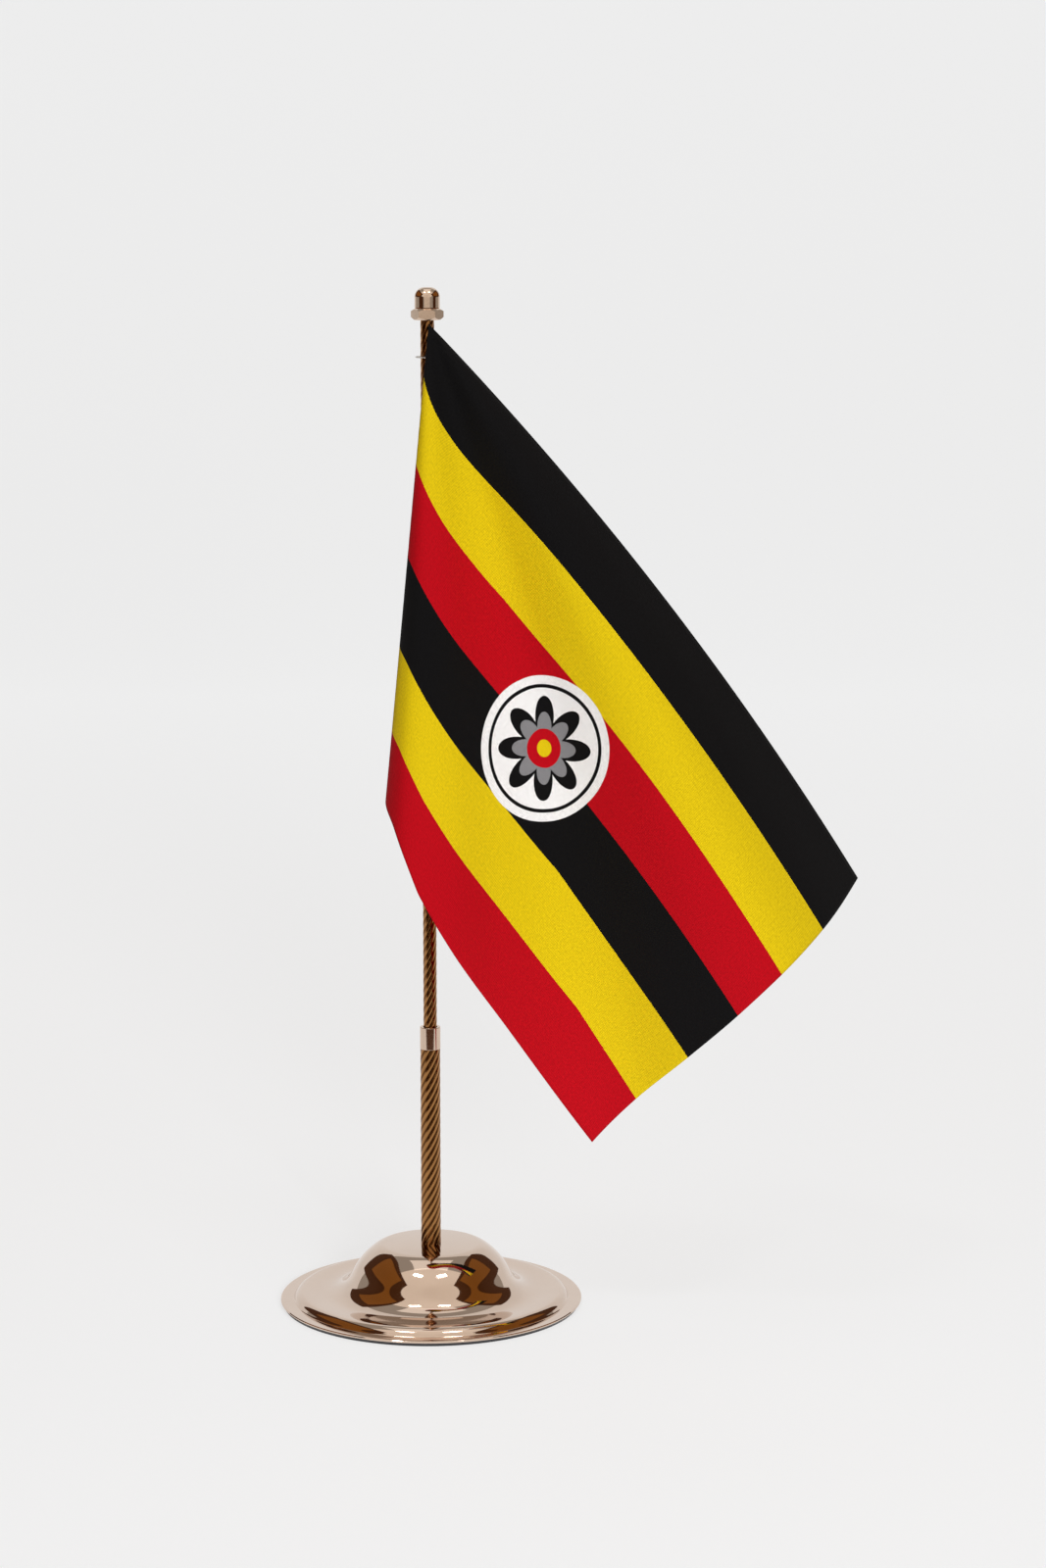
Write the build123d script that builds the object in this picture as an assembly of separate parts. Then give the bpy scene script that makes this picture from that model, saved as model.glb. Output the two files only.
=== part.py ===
from build123d import *
import os
from math import atan2, cos, degrees, exp, radians, sin

# Tabletop flag stand with a telescopic twisted pole and one small printed flag.
# Millimetres, +Z up. The origin is on the table, on the pole's axis.

# ---- driving dimensions -------------------------------------------------
RIM_R = 54.0            # outer edge of the base
FLANGE_IN_R = 48.8      # inner edge of the base's flat rim
BEAD_R = 46.0           # crest of the rolled bead
BEAD_RISE = 2.6         # crest above the flat rim
DISH_RISE = 2.2         # dish above the flat rim, where the hump's skirt runs out
SKIRT_R = 37.0          # foot of the hump's flared skirt
HUMP_R = 27.0           # steepest ring of the hump
PLATEAU_R = 17.0        # flat top of the hump
PLATEAU_Z = 21.5        # top of the hump
SHELL_T = 0.8           # sheet thickness of the base
PAD_T = 1.2             # felt under the base
PAD_INSET = 1.0         # felt edge inside the rim
BALLAST_R = 25.0        # iron ballast disc
BALLAST_GAP = 0.6       # ballast to the shell's slope
BALLAST_BOSS_R = 12.0   # boss that bears on the hump's roof

SCREW_D = 4.0           # pole screw shank
SCREW_HEAD_D = 7.6
SCREW_HEAD_H = 2.6
SCREW_GRIP = 6.0        # shank length inside the foot plug
HEAD_RECESS = 3.0       # head face above the felt
WASHER_D = 9.0
WASHER_T = 0.8
HOLE_GAP = 0.25         # radial gap round the screw

LOWER_WALL = 0.6        # outer tube
LOWER_TOP_Z = 99.0      # mouth of the outer tube
SPIGOT_WALL = 0.3       # wall left at the turned seat for the collar
COLLAR_PROUD = 0.1      # collar outside the outer tube
COLLAR_H = 8.0
COLLAR_LIP = 1.2        # thickness of the collar's inner lip
PLUG_H = 9.0            # foot plug in the outer tube
BUSH_H = 8.0            # guide bush in the mouth of the outer tube
BUSH_WALL = 0.49
BUSH_FLANGE_H = 0.8

UPPER_D = 4.8           # inner tube over its flutes
UPPER_WALL = 0.5
UPPER_TOP_Z = 350.4     # top of the inner tube
RUN_GAP = 0.06          # radial running clearance of the telescope
SLEEVE_H = 9.0          # split friction sleeve
SLEEVE_DROP = 9.0       # free travel above the sleeve
SLEEVE_SLOT = 0.8
STEM_D = 2.4
SHOULDER_H = 1.2
SPIGOT_H = 7.0          # length of each stud inside the inner tube
CLIP_T = 0.8
CLIP_D = 4.2
CLIP_SEAT = 0.4         # stem past the clip
AXIAL_GAP = 0.1

FINIAL_AF = 9.8         # across the flats of the dome nut
FINIAL_HEX_H = 4.2
FINIAL_DOME_D = 8.8
FINIAL_H = 11.2
STUD_D = 3.0            # threaded stud that the nut screws on
STUD_OUT = 6.0          # stud above the inner tube

FLAG_HOIST = 150.0      # cut size along the pole
FLAG_FLY = 250.0        # cut size away from the pole
CLOTH_T = 0.4
CORNER = (0.6, -4.6)    # the flag's top hoist corner, x and y
CORNER_DROP = 1.2       # that corner below the inner tube's top
CORNER_TRIM = 10.0      # gathered corner, left to the top loop
TAPE_W = 2.8            # hoist tape, folded over the cloth's edge
TAPE_LAP = 0.8          # cloth inside the fold
TAPE_T = 1.0
TAPE_DROP = 26.0        # tape's top below the corner
LOOP_D = 0.5            # cord of the two loops
LOOP_GAP = 0.5          # loop to pole, at the back
TOP_LOOP_DROP = 11.5    # top loop below the corner, through the gathered cloth
LOOP_END = 4.0          # bottom loop above the tape's end

# The hanging cloth fans out from its top hoist corner. Each row is one fold line: its angle on the
# flat cloth from the hoist edge, its swing from plumb towards the fly at the cloth's edge, and its
# lean towards the front, in degrees.
FOLD_LINES = (
    (0.0, 0.0, 0.0), (6.5, 6.6, 0.6), (9.5, 8.6, 2.2), (12.5, 7.2, 4.0), (18.0, 1.8, 4.6),
    (24.0, -3.6, 5.6), (28.0, -5.2, 8.0), (33.0, -3.9, 10.8), (39.0, -1.5, 11.6), (46.0, 2.2, 9.8),
    (52.0, 6.2, 5.8), (59.0, 11.2, 2.8), (63.4, 15.0, 3.0), (68.2, 19.6, 5.0), (73.3, 24.3, 6.8),
    (78.7, 28.8, 6.4), (84.3, 33.2, 2.2), (90.0, 37.6, -4.6),
)
FACET_STEP = 2.5        # degrees of flat cloth for each facet
FACET_ROWS = 4          # facets from the corner to the cloth's edge
BULGE = 6.0             # degrees that a fold line starts above its end
BULGE_FROM = 28.0       # flat angle where that begins
BULGE_FULL = 59.0       # and where it is whole
GATHER = 16.0           # cloth taken up below the corner, on the side of the pole
GATHER_START = 20.0
GATHER_END = 85.0
HEM_LIFT = 6.0          # hem drawn up at the front fold's foot
HEM_FOLD = 27.0         # flat angle of that fold
HEM_SPREAD = 13.0

# ---- values worked out from them ---------------------------------------
RIM_TOP = PAD_T + SHELL_T
BEAD_Z = RIM_TOP + BEAD_RISE
DISH_Z = RIM_TOP + DISH_RISE
ROOF_Z = PLATEAU_Z - SHELL_T
HEAD_TOP = PAD_T + HEAD_RECESS + SCREW_HEAD_H
UPPER_BORE_D = UPPER_D - 2 * UPPER_WALL
LOWER_BORE_D = UPPER_D + 2 * (RUN_GAP + BUSH_WALL)
LOWER_D = LOWER_BORE_D + 2 * LOWER_WALL
SPIGOT_D = LOWER_BORE_D + 2 * SPIGOT_WALL
COLLAR_D = LOWER_D + 2 * COLLAR_PROUD
COLLAR_TOP = LOWER_TOP_Z + BUSH_FLANGE_H + COLLAR_LIP
BUSH_BOTTOM = LOWER_TOP_Z - BUSH_H
SLEEVE_TOP = BUSH_BOTTOM - SLEEVE_DROP
SLEEVE_BOTTOM = SLEEVE_TOP - SLEEVE_H
SHOULDER_BOTTOM = SLEEVE_TOP + AXIAL_GAP
UPPER_BOTTOM = SHOULDER_BOTTOM + SHOULDER_H
CLIP_TOP = SLEEVE_BOTTOM - AXIAL_GAP
STEM_BOTTOM = CLIP_TOP - CLIP_T - CLIP_SEAT
CORNER_Z = UPPER_TOP_Z - CORNER_DROP
TAPE_TOP = CORNER_Z - TAPE_DROP
TAPE_BOTTOM = CORNER_Z - FLAG_HOIST


def ring(outer_r, inner_r, bottom, height):
    """A plain upright ring, or a disc when inner_r is 0."""
    body = Pos(0, 0, bottom) * Cylinder(outer_r, height, align=(Align.CENTER, Align.CENTER, Align.MIN))
    if inner_r > 0:
        body -= Pos(0, 0, bottom) * Cylinder(inner_r, height, align=(Align.CENTER, Align.CENTER, Align.MIN))
    return body


def spun(points):
    """A solid of revolution about the pole's axis, from (radius, height) corners."""
    corners = [(radius, 0, height) for radius, height in points]
    return revolve(make_face(Polyline(*corners, close=True)), Axis.Z)


def base_surface(inward):
    """The base's upper surface as a solid of revolution, moved inward by a sheet thickness."""
    roof = PLATEAU_Z - inward
    drop = PLATEAU_Z - DISH_Z
    flare = SKIRT_R - HUMP_R
    top = Line((0, 0, roof), (PLATEAU_R - inward / 2, 0, roof))
    hump = Spline(
        top @ 1,
        ((PLATEAU_R + HUMP_R) / 2 - inward, 0, roof - 0.15 * drop),
        (HUMP_R - inward, 0, PLATEAU_Z - 0.48 * drop - inward / 2),
        (HUMP_R + 0.4 * flare - inward, 0, PLATEAU_Z - 0.84 * drop - inward / 2),
        (SKIRT_R - inward, 0, DISH_Z + 0.1 - inward),
        tangents=((1, 0, -0.12), (1, 0, -0.08)),
    )
    dish = Spline(hump @ 1, (BEAD_R - inward / 2, 0, BEAD_Z - inward), tangents=((1, 0, -0.08), (1, 0, 0)))
    bead = Spline(
        dish @ 1,
        (FLANGE_IN_R - inward, 0, RIM_TOP + BEAD_RISE / 3 - inward),
        (FLANGE_IN_R + 0.6 - inward, 0, RIM_TOP - inward),
        tangents=((1, 0, 0), (0.7, 0, -0.7)),
    )
    flange = Line(bead @ 1, (RIM_R, 0, RIM_TOP - inward))
    edge = Polyline(flange @ 1, (RIM_R, 0, 0), (0, 0, 0), top @ 0)
    outline = Wire([*top.edges(), *hump.edges(), *dish.edges(), *bead.edges(), *flange.edges(), *edge.edges()])
    return revolve(make_face(outline), Axis.Z)


def base_shell():
    """Spun sheet base: rim, rolled bead, dish and hump, open underneath, with a hole for the screw."""
    sheet = base_surface(0) - base_surface(SHELL_T)
    hole = ring(SCREW_D / 2 + HOLE_GAP, 0, ROOF_Z - 1, SHELL_T + 2)
    return sheet - hole


def base_weight():
    """Iron ballast under the hump, with a boss up to the roof and a recess for the screw head."""
    inside = base_surface(SHELL_T + BALLAST_GAP) & ring(BALLAST_R, 0, PAD_T, PLATEAU_Z)
    boss = ring(BALLAST_BOSS_R, 0, ROOF_Z - 2, 2)
    recess = ring(WASHER_D / 2 + 2 * HOLE_GAP, 0, 0, HEAD_TOP + WASHER_T)
    return inside + boss - recess - ring(SCREW_D / 2 + HOLE_GAP, 0, 0, PLATEAU_Z)


def pole_screw():
    """Pan head screw, from below through washer, ballast and shell into the foot plug."""
    head = ring(SCREW_HEAD_D / 2, 0, HEAD_TOP - SCREW_HEAD_H, SCREW_HEAD_H)
    head = fillet(head.edges().sort_by(Axis.Z)[0], SCREW_HEAD_H / 3)
    shank = ring(SCREW_D / 2, 0, HEAD_TOP, PLATEAU_Z + SCREW_GRIP - HEAD_TOP)
    slot = Pos(0, 0, HEAD_TOP - SCREW_HEAD_H) * Box(SCREW_HEAD_D, 1.0, 2.2)
    return head + shank - slot


def foot_plug():
    """Threaded plug in the foot of the outer tube. It stands on the hump's roof."""
    bore = ring(SCREW_D / 2, 0, PLATEAU_Z, SCREW_GRIP)
    return chamfer(ring(LOWER_BORE_D / 2, 0, PLATEAU_Z, PLUG_H).edges().sort_by(Axis.Z)[-1], 0.5) - bore


def lower_tube():
    """Outer tube, with a turned seat for the collar at its mouth."""
    seat_z = COLLAR_TOP - COLLAR_H
    tube = ring(LOWER_D / 2, LOWER_BORE_D / 2, PLATEAU_Z, seat_z - PLATEAU_Z)
    return tube + ring(SPIGOT_D / 2, LOWER_BORE_D / 2, seat_z, LOWER_TOP_Z - seat_z)


def collar():
    """Ring pressed over the outer tube's mouth. Its lip holds the guide bush down."""
    body = ring(COLLAR_D / 2, 0, COLLAR_TOP - COLLAR_H, COLLAR_H)
    body = fillet(body.edges().filter_by(GeomType.CIRCLE), 0.2)
    body -= ring(SPIGOT_D / 2, 0, COLLAR_TOP - COLLAR_H, COLLAR_H - COLLAR_LIP)
    return body - ring(UPPER_D / 2 + 3 * RUN_GAP, 0, COLLAR_TOP - COLLAR_LIP, COLLAR_LIP)


def guide_bush():
    """Flanged plastic bush in the mouth of the outer tube."""
    body = ring(LOWER_BORE_D / 2, 0, BUSH_BOTTOM, BUSH_H) + ring(SPIGOT_D / 2, 0, LOWER_TOP_Z, BUSH_FLANGE_H)
    return body - ring(UPPER_D / 2 + RUN_GAP, 0, BUSH_BOTTOM, BUSH_H + BUSH_FLANGE_H)


def friction_sleeve():
    """Split plastic sleeve that grips the outer tube's bore."""
    body = ring(LOWER_BORE_D / 2 - RUN_GAP / 2, STEM_D / 2 + RUN_GAP, SLEEVE_BOTTOM, SLEEVE_H)
    slot = Pos(LOWER_D / 4, 0, SLEEVE_BOTTOM) * Box(
        LOWER_D / 2, SLEEVE_SLOT, SLEEVE_H, align=(Align.CENTER, Align.CENTER, Align.MIN))
    return body - slot


def end_stud():
    """Stud in the foot of the inner tube: spigot, shoulder and the stem that the sleeve sits on."""
    stem = ring(STEM_D / 2, 0, STEM_BOTTOM, SHOULDER_BOTTOM - STEM_BOTTOM)
    shoulder = ring(UPPER_D / 2, 0, SHOULDER_BOTTOM, SHOULDER_H)
    return stem + shoulder + ring(UPPER_BORE_D / 2, 0, UPPER_BOTTOM, SPIGOT_H)


def sleeve_clip():
    """Split washer pressed on the stem under the sleeve."""
    gap = Pos(CLIP_D / 4, 0, CLIP_TOP - CLIP_T / 2) * Box(CLIP_D / 2, SLEEVE_SLOT, CLIP_T)
    return ring(CLIP_D / 2, STEM_D / 2, CLIP_TOP - CLIP_T, CLIP_T) - gap


def upper_tube():
    return ring(UPPER_D / 2, UPPER_BORE_D / 2, UPPER_BOTTOM, UPPER_TOP_Z - UPPER_BOTTOM)


def top_stud():
    """Threaded stud pressed into the top of the inner tube."""
    return (ring(UPPER_BORE_D / 2, 0, UPPER_TOP_Z - SPIGOT_H, SPIGOT_H)
            + ring(STUD_D / 2, 0, UPPER_TOP_Z, STUD_OUT))


def finial():
    """Hexagon dome nut on the top stud."""
    hexagon = extrude(Plane.XY.offset(UPPER_TOP_Z) * RegularPolygon(FINIAL_AF / 2, 6, major_radius=False),
                      FINIAL_HEX_H)
    corner_r = FINIAL_AF / 2 / cos(radians(30))
    trim = spun(((0, UPPER_TOP_Z), (corner_r - 1.0, UPPER_TOP_Z), (corner_r, UPPER_TOP_Z + 1.0),
                 (corner_r, UPPER_TOP_Z + FINIAL_HEX_H - 1.2), (corner_r - 1.6, UPPER_TOP_Z + FINIAL_HEX_H),
                 (0, UPPER_TOP_Z + FINIAL_HEX_H)))
    dome_r = FINIAL_DOME_D / 2
    dome = ring(dome_r, 0, UPPER_TOP_Z + FINIAL_HEX_H, FINIAL_H - FINIAL_HEX_H)
    dome = fillet(dome.edges().sort_by(Axis.Z)[-1], 0.78 * dome_r)
    return (hexagon & trim) + dome - ring(STUD_D / 2, 0, UPPER_TOP_Z, STUD_OUT)


def between(value, start, end):
    return min(max((value - start) / (end - start), 0), 1)


def hang(flat_angle, distance, reach):
    """Where a point of the flat cloth hangs, from its angle and distance at the top hoist corner."""
    for (a0, s0, l0), (a1, s1, l1) in zip(FOLD_LINES, FOLD_LINES[1:]):
        if flat_angle <= a1:
            share = (flat_angle - a0) / (a1 - a0)
            break
    open_part = between(flat_angle, BULGE_FROM, BULGE_FULL)
    swing = radians(s0 + share * (s1 - s0) + BULGE * open_part * (1 - distance / reach))
    lean = radians(l0 + share * (l1 - l0))
    taken = GATHER * (1 - open_part) * (1 - exp(-distance / GATHER_START)) * exp(-((distance / GATHER_END) ** 2))
    taken += HEM_LIFT * max(1 - ((flat_angle - HEM_FOLD) / HEM_SPREAD) ** 2, 0) * (distance / reach) ** 6
    way = Vector(sin(swing) * cos(lean), -sin(lean), -cos(swing) * cos(lean))
    return Vector(*CORNER, CORNER_Z) + way * (distance - taken)


def cloth_reach(flat_angle):
    """Distance from the top hoist corner to the flat cloth's edge."""
    down = FLAG_HOIST / max(cos(radians(flat_angle)), 1e-6)
    out = FLAG_FLY / max(sin(radians(flat_angle)), 1e-6)
    return min(down, out)


def flag_cloth():
    """The hanging cloth as a thin solid of flat facets that fan out from the top hoist corner."""
    diagonal = degrees(atan2(FLAG_FLY, FLAG_HOIST))
    count = round(90 / FACET_STEP)
    angles = sorted([90 * i / count for i in range(count + 1)] + [diagonal])
    grid = []
    for angle in angles:
        reach = cloth_reach(angle)
        steps = [CORNER_TRIM + (reach - CORNER_TRIM) * row / FACET_ROWS for row in range(FACET_ROWS + 1)]
        grid.append([hang(angle, step, reach) for step in steps])
    front, back = [], []
    for i, ray in enumerate(grid):
        before, after = grid[max(i - 1, 0)], grid[min(i + 1, len(grid) - 1)]
        sides = []
        for row in range(FACET_ROWS + 1):
            along = ray[min(row + 1, FACET_ROWS)] - ray[max(row - 1, 0)]
            sides.append((after[row] - before[row]).cross(along).normalized() * (CLOTH_T / 2))
        front.append([point - side for point, side in zip(ray, sides)])
        back.append([point + side for point, side in zip(ray, sides)])
    faces = []

    def quad(a, b, c, d):
        faces.append(Face(Wire.make_polygon([a, b, c])))
        faces.append(Face(Wire.make_polygon([a, c, d])))

    last = len(grid) - 1
    for i in range(last):
        for row in range(FACET_ROWS):
            quad(front[i][row], front[i][row + 1], front[i + 1][row + 1], front[i + 1][row])
            quad(back[i][row], back[i + 1][row], back[i + 1][row + 1], back[i][row + 1])
        quad(front[i][-1], back[i][-1], back[i + 1][-1], front[i + 1][-1])
        quad(front[i][0], front[i + 1][0], back[i + 1][0], back[i][0])
    for row in range(FACET_ROWS):
        quad(front[0][row], back[0][row], back[0][row + 1], front[0][row + 1])
        quad(front[last][row], front[last][row + 1], back[last][row + 1], back[last][row])
    return Solid(Shell(faces))


def hoist_tape(cloth, loop):
    """Narrow tape folded over the hoist edge, with the bottom loop drawn through its fold."""
    height = TAPE_TOP - TAPE_BOTTOM
    centre = (CORNER[0] + TAPE_LAP - TAPE_W / 2, CORNER[1], TAPE_BOTTOM + height / 2)
    return Pos(*centre) * Box(TAPE_W, TAPE_T, height) - cloth - loop


def tie_loop(level):
    """Round cord loop about the pole, sewn into the hoist at its front."""
    behind = UPPER_D / 2 + LOOP_GAP + LOOP_D / 2
    radius = (behind - CORNER[1]) / 2
    return Pos(0, behind - radius, level) * Torus(radius, LOOP_D / 2)


def main():
    top_loop = tie_loop(CORNER_Z - TOP_LOOP_DROP)
    bottom_loop = tie_loop(TAPE_BOTTOM + LOOP_END)
    cloth = flag_cloth()
    nodes = {
        "base_shell": base_shell(),
        "base_weight": base_weight(),
        "base_pad": ring(RIM_R - PAD_INSET, 0, 0, PAD_T),
        "pole_screw": pole_screw(),
        "screw_washer": ring(WASHER_D / 2, SCREW_D / 2 + HOLE_GAP, HEAD_TOP, WASHER_T),
        "foot_plug": foot_plug(),
        "lower_tube": lower_tube(),
        "collar": collar(),
        "guide_bush": guide_bush(),
        "friction_sleeve": friction_sleeve(),
        "end_stud": end_stud(),
        "sleeve_clip": sleeve_clip(),
        "upper_tube": upper_tube(),
        "top_stud": top_stud(),
        "finial": finial(),
        "flag_cloth": cloth - top_loop - bottom_loop,
        "hoist_tape": hoist_tape(cloth, bottom_loop),
        "top_loop": top_loop,
        "bottom_loop": bottom_loop,
    }
    os.makedirs("parts", exist_ok=True)
    for name, shape in nodes.items():
        export_step(shape, f"parts/{name}.step")


main()
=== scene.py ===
from math import copysign, cos, pi, radians, sin

import bpy
import numpy as np
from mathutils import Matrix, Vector


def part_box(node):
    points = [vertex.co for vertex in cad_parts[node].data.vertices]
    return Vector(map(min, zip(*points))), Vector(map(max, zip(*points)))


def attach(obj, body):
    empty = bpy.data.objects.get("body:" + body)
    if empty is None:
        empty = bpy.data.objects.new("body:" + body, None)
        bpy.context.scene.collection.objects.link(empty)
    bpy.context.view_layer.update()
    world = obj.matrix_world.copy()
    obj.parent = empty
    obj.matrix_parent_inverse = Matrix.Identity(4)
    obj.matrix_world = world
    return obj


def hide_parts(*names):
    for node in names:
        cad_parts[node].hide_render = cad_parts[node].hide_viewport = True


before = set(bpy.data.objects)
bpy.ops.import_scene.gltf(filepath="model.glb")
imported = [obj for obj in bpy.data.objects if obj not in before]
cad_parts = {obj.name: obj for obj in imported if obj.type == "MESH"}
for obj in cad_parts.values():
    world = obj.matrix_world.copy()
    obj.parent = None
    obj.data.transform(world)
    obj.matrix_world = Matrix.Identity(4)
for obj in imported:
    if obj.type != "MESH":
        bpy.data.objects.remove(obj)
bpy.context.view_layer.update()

MM = 0.001

# ---- the base's section, as the CAD makes it, in metres -----------------
PAD_T = 1.2 * MM
SHELL_T = 0.8 * MM
RIM_R = 54.0 * MM
FLANGE_IN_R = 48.8 * MM
BEAD_R = 46.0 * MM
BEAD_RISE = 2.6 * MM
DISH_RISE = 2.2 * MM
SKIRT_R = 37.0 * MM
HUMP_R = 27.0 * MM
PLATEAU_R = 17.0 * MM
HOLE_R = 2.25 * MM
EDGE_R = 0.25 * MM      # broken edge of the rim
JOIN_W = 0.6 * MM       # step of the profile outside the bead's foot
SKIRT_LIFT = 0.1 * MM   # foot of the hump's skirt above the dish
SKIRT_DROPS = (0.15, 0.48, 0.84)   # share of the drop at the skirt's points
SPIN_SEGMENTS = 256

# ---- the pole's twisted tubes: ribs, lead of one turn, groove depth, wall
LOWER_TWIST = (10, 37 * MM, 0.26 * MM, 0.6 * MM)
UPPER_TWIST = (8, 27.6 * MM, 0.22 * MM, 0.5 * MM)
RIB_COLUMNS = 10        # mesh columns for each rib
RIB_ROW = 0.55 * MM     # height of a mesh row
RIB_ROUNDNESS = 0.8

# ---- the flag as it was cut, and how it hangs ---------------------------
FLAG_HOIST = 150.0 * MM
FLAG_FLY = 250.0 * MM
STRIPES = 6
CLOTH_T = 0.22 * MM
CORNER_DROP = 1.2 * MM
CORNER_X = 0.6 * MM
CORNER_Y = -4.6 * MM
# One fold line of the hanging cloth in each row: its angle on the flat cloth from the hoist edge,
# its swing from plumb towards the fly at the cloth's edge, and its lean to the front, in degrees.
FOLD_LINES = (
    (0.0, 0.0, 0.0), (6.5, 6.6, 0.6), (9.5, 8.6, 2.2), (12.5, 7.2, 4.0), (18.0, 1.8, 4.6),
    (24.0, -3.6, 5.6), (28.0, -5.2, 8.0), (33.0, -3.9, 10.8), (39.0, -1.5, 11.6), (46.0, 2.2, 9.8),
    (52.0, 6.2, 5.8), (59.0, 11.2, 2.8), (63.4, 15.0, 3.0), (68.2, 19.6, 5.0), (73.3, 24.3, 6.8),
    (78.7, 28.8, 6.4), (84.3, 33.2, 2.2), (90.0, 37.6, -4.6),
)
BULGE = 6.0             # degrees that a fold line starts above its end
BULGE_FROM = 28.0       # flat angle where that begins
BULGE_FULL = 59.0       # and where it is whole
GATHER = 16.0 * MM      # cloth taken up below the corner, on the side of the pole
GATHER_START = 20.0 * MM
GATHER_END = 85.0 * MM
HEM_LIFT = 6.0 * MM     # hem drawn up at the front fold's foot
HEM_FOLD = 27.0         # flat angle of that fold
HEM_SPREAD = 13.0       # degrees to each side that the lift reaches
HEM_POWER = 6           # how late along the cloth the lift comes in
CLOTH_COLUMNS = 200
CLOTH_ROWS = 96
DISC_FLY = 132.0 * MM   # middle of the printed disc from the hoist
DISC_DROP = 75.0 * MM   # and from the top edge
DISC_R = 25.5 * MM
PETALS = 8

# ---- the camera, solved from the photograph, and the meshes -------------
LENS = 83.25            # mm, with 36 mm along the picture's longer side
SENSOR = 36
CAMERA_AT = (0.0330, -1.2593, 0.3923)
CAMERA_TILT = 80.8      # degrees up from straight down
SHARP_ANGLE = 35        # degrees past which an edge is shaded sharp


def camera():
    data = bpy.data.cameras.new("view")
    data.lens = LENS
    data.sensor_width = SENSOR
    rig = bpy.data.objects.new("view", data)
    rig.location = CAMERA_AT
    rig.rotation_euler = (radians(CAMERA_TILT), 0, 0)
    bpy.context.scene.collection.objects.link(rig)
    bpy.context.scene.camera = rig


# ---- materials ----------------------------------------------------------
class Nodes:
    """A small helper that builds one material's node tree."""

    def __init__(self, name, color, metallic=0.0, roughness=0.5):
        self.material = bpy.data.materials.new(name)
        self.material.use_nodes = True
        self.tree = self.material.node_tree
        self.shader = self.tree.nodes["Principled BSDF"]
        self.shader.inputs["Base Color"].default_value = (*color, 1)
        self.shader.inputs["Metallic"].default_value = metallic
        self.shader.inputs["Roughness"].default_value = roughness
        self.material.diffuse_color = (*color, 1)

    @classmethod
    def over(cls, material):
        """The same helper on a material that is already made."""
        made = cls.__new__(cls)
        made.material = material
        made.tree = material.node_tree
        made.shader = made.tree.nodes["Principled BSDF"]
        return made

    def node(self, kind, links=(), values=(), **settings):
        made = self.tree.nodes.new(kind)
        for key, value in settings.items():
            setattr(made, key, value)
        for key, value in dict(values).items():
            made.inputs[key].default_value = value
        for key, source in dict(links).items():
            self.tree.links.new(source, made.inputs[key])
        return made

    def math(self, operation, first, second=0.0):
        made = self.tree.nodes.new("ShaderNodeMath")
        made.operation = operation
        for slot_number, value in enumerate((first, second)):
            if isinstance(value, (int, float)):
                made.inputs[slot_number].default_value = value
            else:
                self.tree.links.new(value, made.inputs[slot_number])
        return made.outputs[0]

    def place(self):
        return self.node("ShaderNodeTexCoord").outputs["Object"]

    def noise(self, scale, detail=3.0, stretch=(1, 1, 1), source=None):
        mapping = self.node("ShaderNodeMapping", {"Vector": source or self.place()}, {"Scale": stretch})
        return self.node("ShaderNodeTexNoise", {"Vector": mapping.outputs[0]},
                         {"Scale": scale, "Detail": detail}).outputs["Fac"]

    def spread(self, source, low, high):
        made = self.node("ShaderNodeMapRange", {"Value": source}, {"To Min": low, "To Max": high})
        return made.outputs[0]

    def blend(self, factor, first, second):
        made = self.node("ShaderNodeMix", data_type="RGBA")
        for key, value in ((0, factor), (6, first), (7, second)):
            if isinstance(value, tuple):
                made.inputs[key].default_value = (*value, 1)
            elif isinstance(value, (int, float)):
                made.inputs[key].default_value = value
            else:
                self.tree.links.new(value, made.inputs[key])
        return made.outputs[2]

    def bump(self, height, strength, distance):
        made = self.node("ShaderNodeBump", {"Height": height}, {"Strength": strength, "Distance": distance})
        self.set("Normal", made.outputs[0])

    def set(self, name, source):
        self.tree.links.new(source, self.shader.inputs[name])


def polished_metal(name, color, wear, roughness):
    """Polished metal with faint polishing marks, finger haze and tarnish in patches."""
    m = Nodes(name, color, metallic=1.0, roughness=roughness)
    haze = m.noise(90.0, 4.0)
    marks = m.noise(4000.0, 2.0, stretch=(1, 1, 0.15))
    m.set("Base Color", m.blend(m.spread(haze, 0.0, 0.55), color, wear))
    m.set("Roughness", m.math("ADD", m.spread(haze, roughness * 0.6, roughness * 1.8),
                              m.spread(marks, 0.0, 0.03)))
    m.bump(marks, 0.05, 0.00002)
    return m.material


def antiqued_metal(name, color, groove_color, outer, depth):
    """Polished metal with dark patina left in its grooves. outer is the radius over the ribs."""
    material = polished_metal(name, color, tuple(0.5 * c for c in color), 0.12)
    m = Nodes.over(material)
    split = m.node("ShaderNodeSeparateXYZ", {"Vector": m.place()})
    square = [m.math("MULTIPLY", split.outputs[i], split.outputs[i]) for i in (0, 1)]
    radius = m.math("SQRT", m.math("ADD", *square))
    worn = m.node("ShaderNodeMapRange", {"Value": radius},
                  {"From Min": outer - 0.8 * depth, "From Max": outer - 0.15 * depth}).outputs[0]
    metal = m.shader.inputs["Base Color"].links[0].from_socket
    m.set("Base Color", m.blend(worn, groove_color, metal))
    return material


def machined_steel(name, color):
    """Plated steel with turning marks."""
    m = Nodes(name, color, metallic=1.0, roughness=0.32)
    grain = m.noise(2500.0, 3.0, stretch=(0.2, 0.2, 1))
    m.set("Roughness", m.spread(grain, 0.24, 0.42))
    m.bump(grain, 0.2, 0.00004)
    return m.material


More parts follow.
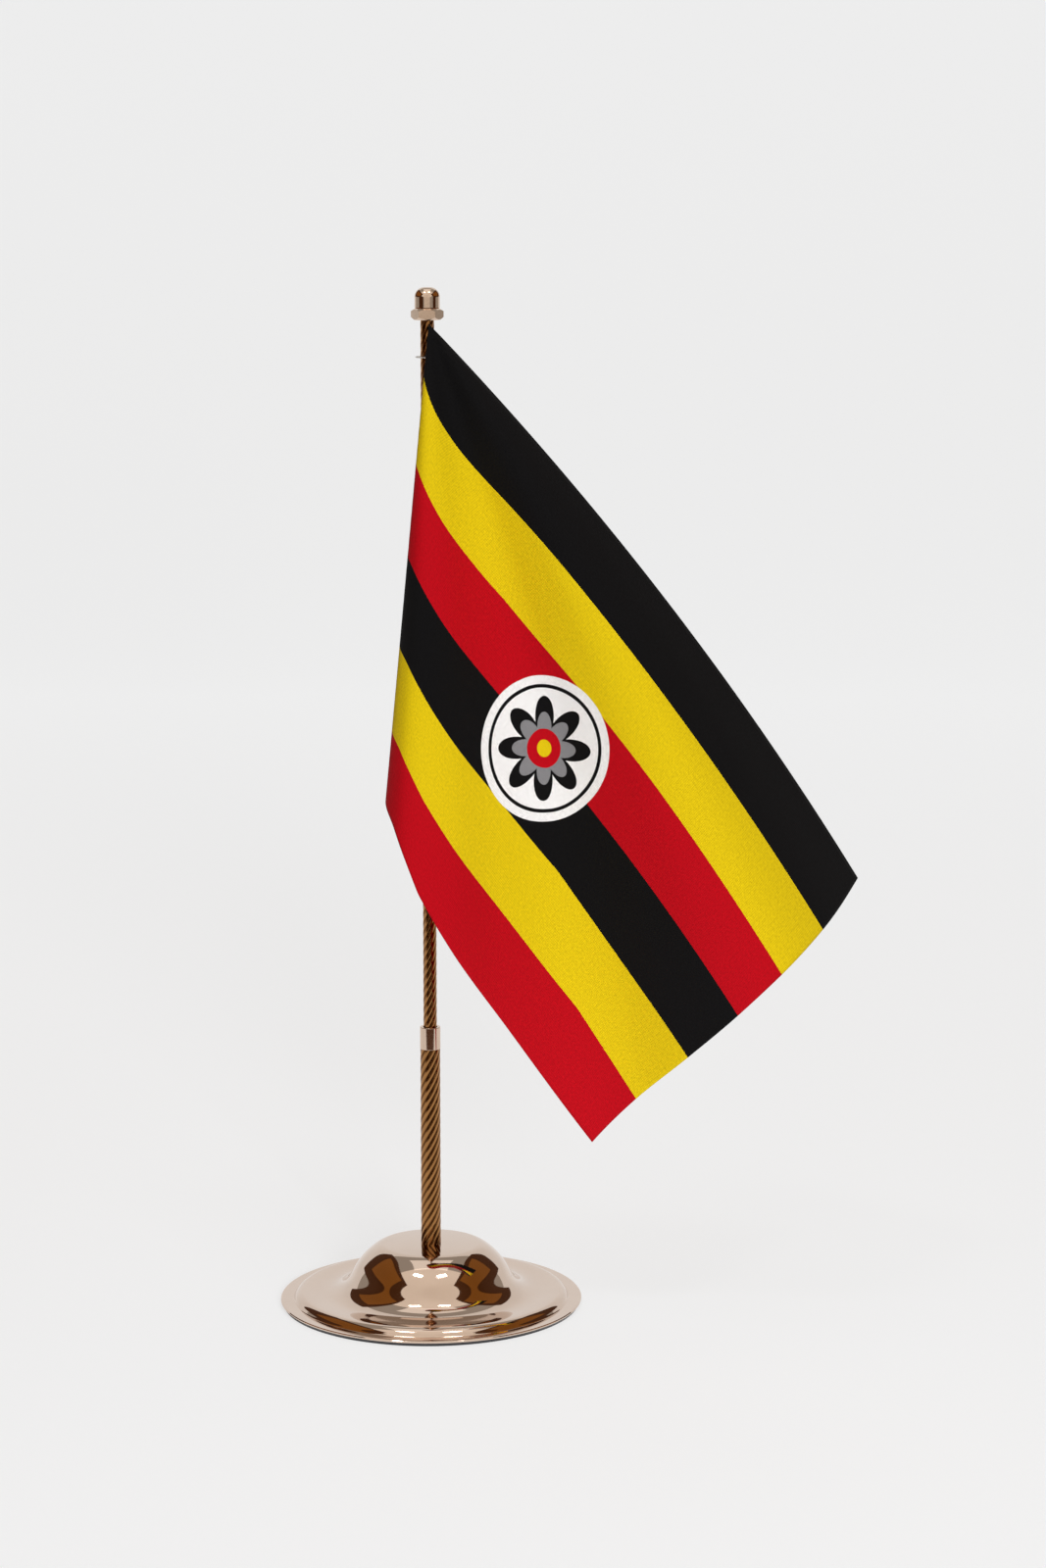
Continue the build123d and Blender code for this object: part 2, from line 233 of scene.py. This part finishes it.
def cast_metal(name, color):
    """Rough iron with grit in its colour and surface."""
    m = Nodes(name, color, metallic=0.6, roughness=0.7)
    grit = m.noise(700.0, 6.0)
    m.set("Base Color", m.blend(grit, color, tuple(0.55 * c for c in color)))
    m.bump(grit, 0.6, 0.0003)
    return m.material


def felt(name, color):
    """Pressed felt: matted fibres at two sizes."""
    m = Nodes(name, color, roughness=0.95)
    m.shader.inputs["Sheen Weight"].default_value = 0.4
    fibres = m.math("ADD", m.noise(3500.0, 6.0, stretch=(1, 3, 1)), m.noise(900.0, 5.0))
    m.set("Base Color", m.blend(m.spread(fibres, 0.0, 0.5), color, tuple(2.2 * c for c in color)))
    m.bump(fibres, 0.8, 0.0002)
    return m.material


def moulded(name, color):
    """Plastic with a fine mould grain."""
    m = Nodes(name, color, roughness=0.5)
    grain = m.noise(1500.0, 3.0)
    m.set("Roughness", m.spread(grain, 0.42, 0.6))
    m.bump(grain, 0.15, 0.00005)
    return m.material


def woven(name, color, thread):
    """Narrow woven tape: crossed ribs of one thread size."""
    m = Nodes(name, color, roughness=0.85)
    m.shader.inputs["Sheen Weight"].default_value = 0.3
    ribs = [m.node("ShaderNodeTexWave", {"Vector": m.place()}, {"Scale": 0.31 / thread, "Distortion": 0.4},
                   bands_direction=way).outputs["Fac"] for way in ("X", "Z")]
    weave = m.math("MULTIPLY", *ribs)
    m.set("Base Color", m.blend(weave, tuple(0.6 * c for c in color), tuple(1.5 * c for c in color)))
    m.bump(weave, 0.6, 0.0001)
    return m.material


def printed_cloth():
    """The flag's cloth: six printed stripes, a white disc with a plain rosette, and a fine weave."""
    black, yellow, red = (0.0035, 0.0035, 0.004), (0.72, 0.53, 0.004), (0.47, 0.0015, 0.008)
    white, grey = (0.86, 0.86, 0.86), (0.22, 0.22, 0.23)
    m = Nodes("printed_cloth", red, roughness=0.82)
    m.shader.inputs["Specular IOR Level"].default_value = 0.18
    flat = m.node("ShaderNodeUVMap", uv_map="flat").outputs[0]
    split = m.node("ShaderNodeSeparateXYZ", {"Vector": flat})
    along, down = split.outputs[0], split.outputs[1]
    ramp = m.node("ShaderNodeValToRGB", {"Fac": down})
    ramp.color_ramp.interpolation = "CONSTANT"
    stripes = ramp.color_ramp.elements
    stripes[0].position = 0.0
    stripes[0].color = (*black, 1)
    stripes[1].position = 1 / STRIPES
    stripes[1].color = (*yellow, 1)
    for number in range(2, STRIPES):
        stripes.new(number / STRIPES).color = (*(black, yellow, red)[number % 3], 1)
    # the disc and its rosette, in the flat cloth's own metres
    across = m.math("SUBTRACT", m.math("MULTIPLY", along, FLAG_FLY), DISC_FLY)
    below = m.math("SUBTRACT", m.math("MULTIPLY", down, FLAG_HOIST), DISC_DROP)
    radius = m.math("DIVIDE", m.math("SQRT", m.math("ADD", m.math("MULTIPLY", across, across),
                                                    m.math("MULTIPLY", below, below))), DISC_R)
    turn = m.math("ARCTAN2", below, across)
    wavy = m.math("ABSOLUTE", m.math("COSINE", m.math("MULTIPLY", turn, PETALS / 2)))

    def inside(limit):
        return m.math("LESS_THAN", radius, limit)

    petals = inside(m.math("ADD", m.math("MULTIPLY", wavy, 0.34), 0.38))
    cores = inside(m.math("ADD", m.math("MULTIPLY", wavy, 0.20), 0.30))
    rim = m.math("MULTIPLY", inside(0.88), m.math("GREATER_THAN", radius, 0.83))
    print_color = m.blend(inside(1.0), ramp.outputs[0], white)
    print_color = m.blend(rim, print_color, black)
    print_color = m.blend(petals, print_color, black)
    print_color = m.blend(cores, print_color, grey)
    print_color = m.blend(inside(0.27), print_color, red)
    print_color = m.blend(inside(0.12), print_color, yellow)
    # threads, and the slight mottle of ink on them
    millimetres = {"Scale": (FLAG_FLY / MM, FLAG_HOIST / MM, 1)}
    cloth = m.node("ShaderNodeMapping", {"Vector": flat}, millimetres).outputs[0]
    threads = {"Scale": 0.45, "Distortion": 1.2, "Detail": 2.0}
    warp, weft = [m.node("ShaderNodeTexWave", {"Vector": cloth}, threads, bands_direction=way).outputs["Fac"]
                  for way in ("X", "Y")]
    weave = m.math("ADD", m.math("MULTIPLY", warp, 0.5), m.math("MULTIPLY", weft, 0.5))
    mottle = m.node("ShaderNodeTexNoise", {"Vector": cloth}, {"Scale": 1.1, "Detail": 4.0}).outputs["Fac"]
    shade = m.math("ADD", m.spread(weave, 0.80, 1.10), m.spread(mottle, -0.30, 0.30))
    tinted = m.node("ShaderNodeVectorMath", {0: print_color, 1: shade}, operation="MULTIPLY")
    m.set("Base Color", tinted.outputs[0])
    m.bump(m.math("ADD", weave, m.math("MULTIPLY", mottle, 0.5)), 0.35, 0.00008)
    return m.material


# ---- mesh makers --------------------------------------------------------
def add_mesh(name, points, faces, material, smooth=True):
    mesh = bpy.data.meshes.new(name)
    mesh.from_pydata([tuple(p) for p in points], [], faces)
    mesh.update()
    if smooth:
        mesh.polygons.foreach_set("use_smooth", [True] * len(mesh.polygons))
        mesh.set_sharp_from_angle(angle=radians(SHARP_ANGLE))
    mesh.materials.append(material)
    piece = bpy.data.objects.new(name, mesh)
    bpy.context.scene.collection.objects.link(piece)
    return piece


def lathe(name, section, material):
    """Spins a closed (radius, height) section about the pole's axis."""
    segments = SPIN_SEGMENTS
    angles = np.arange(segments) * 2 * pi / segments
    points = [(r * cos(a), r * sin(a), z) for r, z in section for a in angles]
    faces = []
    count = len(section)
    for row in range(count):
        after = (row + 1) % count
        for i in range(segments):
            j = (i + 1) % segments
            faces.append((row * segments + i, after * segments + i,
                          after * segments + j, row * segments + j))
    return add_mesh(name, points, faces, material)


def spline(ends, inner, steps=24):
    """A cubic spline through points, with its two end directions given."""
    pts = np.array(inner, float)
    chords = np.linalg.norm(np.diff(pts, axis=0), axis=1)
    knots = np.concatenate([[0], np.cumsum(chords)])
    count = len(pts)
    system, right = np.zeros((count, count)), np.zeros((count, 2))
    for row, way in ((0, ends[0]), (count - 1, ends[1])):
        system[row, row] = 1
        right[row] = np.array(way) / np.linalg.norm(way)
    for i in range(1, count - 1):
        h0, h1 = chords[i - 1], chords[i]
        system[i, i - 1], system[i, i], system[i, i + 1] = h1, 2 * (h0 + h1), h0
        right[i] = 3 * (h1 * (pts[i] - pts[i - 1]) / h0 + h0 * (pts[i + 1] - pts[i]) / h1)
    slopes = np.linalg.solve(system, right)
    out = []
    for i in range(count - 1):
        h = knots[i + 1] - knots[i]
        for t in np.arange(steps) / steps:
            out.append(pts[i] * (1 + 2 * t) * (1 - t) ** 2 + pts[i + 1] * t * t * (3 - 2 * t)
                       + slopes[i] * h * t * (1 - t) ** 2 + slopes[i + 1] * h * t * t * (t - 1))
    return [tuple(p) for p in out]


def shell_line(inward):
    """The base's surface from the hole to the rim, moved inward by a sheet thickness."""
    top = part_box("base_shell")[1][2]
    roof = top - inward
    rim_top = PAD_T + SHELL_T
    dish = rim_top + DISH_RISE
    drop = top - dish
    flare = SKIRT_R - HUMP_R
    start = (PLATEAU_R - inward / 2, roof)
    skirt = (SKIRT_R - inward, dish + SKIRT_LIFT - inward)
    crest = (BEAD_R - inward / 2, rim_top + BEAD_RISE - inward)
    line = [(HOLE_R, roof)]
    line += spline(((1, -0.12), (1, -0.08)), [
        start, ((PLATEAU_R + HUMP_R) / 2 - inward, roof - SKIRT_DROPS[0] * drop),
        (HUMP_R - inward, top - SKIRT_DROPS[1] * drop - inward / 2),
        (HUMP_R + 0.4 * flare - inward, top - SKIRT_DROPS[2] * drop - inward / 2), skirt])
    line += spline(((1, -0.08), (1, 0)), [skirt, crest])
    line += spline(((1, 0), (0.7, -0.7)), [
        crest, (FLANGE_IN_R - inward, rim_top + BEAD_RISE / 3 - inward),
        (FLANGE_IN_R + JOIN_W - inward, rim_top - inward)])
    return line + [(FLANGE_IN_R + JOIN_W - inward, rim_top - inward),
                   (FLANGE_IN_R + 2 * JOIN_W - inward, rim_top - inward)]


def base_shell(material):
    top = shell_line(0.0) + [(RIM_R - EDGE_R, PAD_T + SHELL_T), (RIM_R, PAD_T + SHELL_T - EDGE_R),
                             (RIM_R, PAD_T + EDGE_R), (RIM_R - EDGE_R, PAD_T)]
    under = shell_line(SHELL_T)[::-1]
    piece = lathe("base_shell_spun", top + under, material)
    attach(piece, "stand")
    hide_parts("base_shell")


def fluted_tube(name, node, body, flutes, lead, depth, wall):
    """A twisted tube: rounded ribs between narrow grooves that climb to the right."""
    low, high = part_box(node)
    outer = (high[0] - low[0]) / 2
    bottom, top = low[2], high[2]
    material = antiqued_metal(name + "_metal", (0.46, 0.22, 0.075), (0.045, 0.012, 0.002), outer, depth)
    columns = flutes * RIB_COLUMNS
    rows = max(int((top - bottom) / RIB_ROW), 2)
    angle = np.arange(columns) * 2 * pi / columns
    levels = np.linspace(bottom, top, rows + 1)
    inner = outer - wall
    points = []
    for level in levels:
        phase = flutes * (angle - 2 * pi * level / lead) / 2
        radius = outer - depth * (1 - np.abs(np.cos(phase)) ** RIB_ROUNDNESS)
        points.extend(zip(radius * np.cos(angle), radius * np.sin(angle), [level] * columns))
    for level in (top, bottom):
        points.extend((inner * cos(a), inner * sin(a), level) for a in angle)
    faces = []
    for row in range(rows + 3):
        after = row + 1 if row < rows + 2 else 0
        for i in range(columns):
            j = (i + 1) % columns
            faces.append((row * columns + i, row * columns + j,
                          after * columns + j, after * columns + i))
    piece = add_mesh(name, points, faces, material)
    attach(piece, body)
    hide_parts(node)


# ---- the flag -----------------------------------------------------------
def fold_curve(column):
    """A smooth function through one column of the fold lines (cubic, with limited slopes)."""
    x = np.array([row[0] for row in FOLD_LINES])
    y = np.array([row[column] for row in FOLD_LINES])
    steps = np.diff(x)
    slopes = np.diff(y) / steps
    tangents = np.concatenate([[slopes[0]], (slopes[1:] * steps[:-1] + slopes[:-1] * steps[1:])
                               / (steps[1:] + steps[:-1]), [slopes[-1]]])

    def value(at):
        k = np.clip(np.searchsorted(x, at, side="right") - 1, 0, len(x) - 2)
        h = x[k + 1] - x[k]
        t = (at - x[k]) / h
        return (y[k] * (1 + 2 * t) * (1 - t) ** 2 + y[k + 1] * t * t * (3 - 2 * t)
                + tangents[k] * h * t * (1 - t) ** 2 + tangents[k + 1] * h * t * t * (t - 1))
    return value


SWING = fold_curve(1)
LEAN = fold_curve(2)


def flag_tip():
    return np.array([CORNER_X, CORNER_Y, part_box("upper_tube")[1][2] - CORNER_DROP])


def hang(fly, drop):
    """Where a point of the flat cloth hangs, from its distances along the fly and down the hoist."""
    fly, drop = np.asarray(fly, float), np.asarray(drop, float)
    flat_angle = np.degrees(np.arctan2(fly, np.maximum(drop, 1e-9)))
    distance = np.hypot(fly, drop)
    turn = np.radians(flat_angle)
    reach = np.minimum(FLAG_HOIST / np.maximum(np.cos(turn), 1e-6),
                       FLAG_FLY / np.maximum(np.sin(turn), 1e-6))
    open_part = np.clip((flat_angle - BULGE_FROM) / (BULGE_FULL - BULGE_FROM), 0, 1)
    swing = np.radians(SWING(flat_angle) + BULGE * open_part * (1 - distance / reach))
    lean = np.radians(LEAN(flat_angle))
    fade_in, fade_out = 1 - np.exp(-distance / GATHER_START), np.exp(-(distance / GATHER_END) ** 2)
    taken = GATHER * (1 - open_part) * fade_in * fade_out
    at_fold = np.maximum(1 - ((flat_angle - HEM_FOLD) / HEM_SPREAD) ** 2, 0)
    taken += HEM_LIFT * at_fold * (distance / reach) ** HEM_POWER
    way = np.stack([np.sin(swing) * np.cos(lean), -np.sin(lean), -np.cos(swing) * np.cos(lean)], -1)
    return flag_tip() + (distance - taken)[..., None] * way


def flag(material):
    """The cloth as one sheet, gridded along the stripes, with its real thickness."""
    columns, rows = CLOTH_COLUMNS, CLOTH_ROWS
    fly = np.linspace(0, FLAG_FLY, columns + 1)
    drop = np.linspace(0, FLAG_HOIST, rows + 1)
    fly_grid, drop_grid = np.meshgrid(fly, drop)
    points = hang(fly_grid, drop_grid).reshape(-1, 3)
    wide = columns + 1
    faces = [(r * wide + c, (r + 1) * wide + c, (r + 1) * wide + c + 1, r * wide + c + 1)
             for r in range(rows) for c in range(columns)]
    piece = add_mesh("flag_sheet", points, faces, material)
    layer = piece.data.uv_layers.new(name="flat")
    flat = np.stack([fly_grid / FLAG_FLY, drop_grid / FLAG_HOIST], -1).reshape(-1, 2)
    corners = np.empty(len(piece.data.loops), int)
    piece.data.loops.foreach_get("vertex_index", corners)
    layer.data.foreach_set("uv", flat[corners].ravel())
    thick = piece.modifiers.new("thickness", "SOLIDIFY")
    thick.thickness = CLOTH_T
    thick.offset = 0
    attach(piece, "flag")
    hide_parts("flag_cloth")


# ---- studio -------------------------------------------------------------
def plain(name, color, glow_color=(1, 1, 1), glow=0.0):
    """A matt material that can also give off a little light of its own."""
    m = Nodes(name, color, roughness=0.9)
    m.shader.inputs["Emission Color"].default_value = (*glow_color, 1)
    m.shader.inputs["Emission Strength"].default_value = glow
    return m.material


def card(name, centre, size, facing, material):
    """A flat studio card. facing is the point that it looks at."""
    x, y = size[0] / 2, size[1] / 2
    piece = add_mesh(name, [(-x, -y, 0), (x, -y, 0), (x, y, 0), (-x, y, 0)], [(0, 1, 2, 3)],
                     material, smooth=False)
    piece.location = centre
    way = Vector(facing) - Vector(centre)
    piece.rotation_euler = way.to_track_quat("Z", "Y").to_euler()
    return piece


def soft_light(name, centre, size, watts, facing=(0, 0, 0)):
    """A white rectangular lamp. facing is the point that it shines at."""
    data = bpy.data.lights.new(name, "AREA")
    data.shape = "RECTANGLE"
    data.size, data.size_y = size
    data.energy = watts
    lamp = bpy.data.objects.new(name, data)
    lamp.location = centre
    lamp.rotation_euler = (Vector(facing) - Vector(centre)).to_track_quat("-Z", "Y").to_euler()
    bpy.context.scene.collection.objects.link(lamp)
    return lamp


def backdrop():
    """A seamless pale sweep: floor, curve and wall."""
    front, back, bend, height, half_width = -3.0, 1.6, 0.8, 3.2, 3.5
    section = [(front, 0.0), (back, 0.0)]
    section += [(back + bend * sin(a), bend - bend * cos(a)) for a in np.linspace(0.1, pi / 2, 14)]
    section += [(back + bend, height)]
    points = [(x, y, z) for y, z in section for x in (-half_width, half_width)]
    faces = [(2 * i, 2 * i + 1, 2 * i + 3, 2 * i + 2) for i in range(len(section) - 1)]
    add_mesh("sweep", points, faces, plain("sweep_paper", (0.28, 0.29, 0.30), glow=0.66))


def studio():
    """Pale sweep, soft light, and the cards whose reflections shape the metal."""
    backdrop()
    world = bpy.data.worlds.new("studio")
    bpy.context.scene.world = world
    world.use_nodes = True
    sky = world.node_tree.nodes["Background"].inputs
    sky["Color"].default_value = (0.92, 0.86, 0.79, 1)
    sky["Strength"].default_value = 0.40
    dark = plain("dark_card", (0.03, 0.012, 0.004), (0.04, 0.012, 0.002), 1.0)
    amber = plain("amber_card", (0.10, 0.04, 0.01), (0.15, 0.055, 0.005), 1.0)
    for name, side in (("left", -1), ("right", 1)):
        card("dark_" + name, (side * 0.92, 0.10, 0.74), (1.9, 0.86), (0, 0, 0.02), dark)
        card("amber_" + name, (side * 0.80, 0.05, 0.72), (0.95, 0.46), (0, 0, 0.02), amber)
    card("floor_card", (0, -1.29, 0.004), (2.4, 2.0), (0, -1.29, 1), dark)
    card("front_card", (0, -2.3, 0.11), (1.9, 0.20), (0, 0, 0.11), dark)
    # pale panels, which light no matt surface
    pale = plain("pale_card", (0.5, 0.5, 0.5), (0.92, 0.83, 0.72), 0.62)
    panels = (("over", (0, -1.50, 1.70), (4.2, 3.0)), ("ahead", (0, -2.4, 0.62), (2.4, 0.75)))
    for name, centre, size in panels:
        card("pale_" + name, centre, size, (0, 0, 0.1), pale).visible_diffuse = False
    # dark cards that shade the cloth from both sides and show in no reflection
    for name, x, y in (("left", -0.30, -0.35), ("right", 0.60, -0.30)):
        facing = (x - copysign(1, x), y, 0.36)
        card("black_" + name, (x, y, 0.36), (0.85, 0.60), facing, dark).visible_glossy = False
    card("side_left", (-0.80, -0.55, 0.20), (0.75, 0.62), (0, 0, 0.2), dark)
    card("side_right", (0.95, -0.35, 0.20), (0.55, 0.62), (0, 0, 0.2), dark)
    lamp = soft_light("key", (0.42, -1.72, 0.50), (0.4, 0.4), 24, (0.05, 0, 0.25))
    lamp.visible_glossy = False
    soft_light("top", (0.0, 0.1, 1.9), (1.2, 0.9), 2)
    soft_light("strip_left", (-0.39, -0.55, 1.45), (0.30, 0.12), 1.2)
    soft_light("strip_right", (0.34, -0.58, 1.45), (0.30, 0.12), 1.2)


def dress_frame():
    """Gives every CAD node that stays in view its material."""
    bright = polished_metal("polished_fittings", (0.78, 0.63, 0.52), (0.55, 0.36, 0.22), 0.06)
    steel = machined_steel("plated_steel", (0.55, 0.55, 0.56))
    nylon = moulded("moulded_nylon", (0.80, 0.79, 0.74))
    cord = moulded("nylon_line", (0.80, 0.78, 0.74))
    Nodes.over(cord).shader.inputs["Transmission Weight"].default_value = 0.95
    finishes = {
        "base_weight": cast_metal("cast_iron", (0.13, 0.13, 0.14)),
        "base_pad": felt("black_felt", (0.020, 0.020, 0.022)),
        "pole_screw": steel, "screw_washer": steel, "foot_plug": steel,
        "end_stud": steel, "sleeve_clip": steel, "top_stud": steel,
        "guide_bush": nylon, "friction_sleeve": nylon,
        "collar": bright, "finial": bright,
        "hoist_tape": woven("hoist_tape", (0.02, 0.02, 0.021), 0.0003),
        "top_loop": cord, "bottom_loop": cord,
    }
    for node, material in finishes.items():
        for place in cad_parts[node].material_slots:
            place.material = material


def main():
    camera()
    studio()
    dress_frame()
    base_shell(polished_metal("polished_base", (0.72, 0.575, 0.475), (0.62, 0.47, 0.37), 0.03))
    fluted_tube("lower_tube_twisted", "lower_tube", "stand", *LOWER_TWIST)
    fluted_tube("upper_tube_twisted", "upper_tube", "mast", *UPPER_TWIST)
    flag(printed_cloth())
    bpy.context.scene.view_settings.view_transform = "Standard"


main()
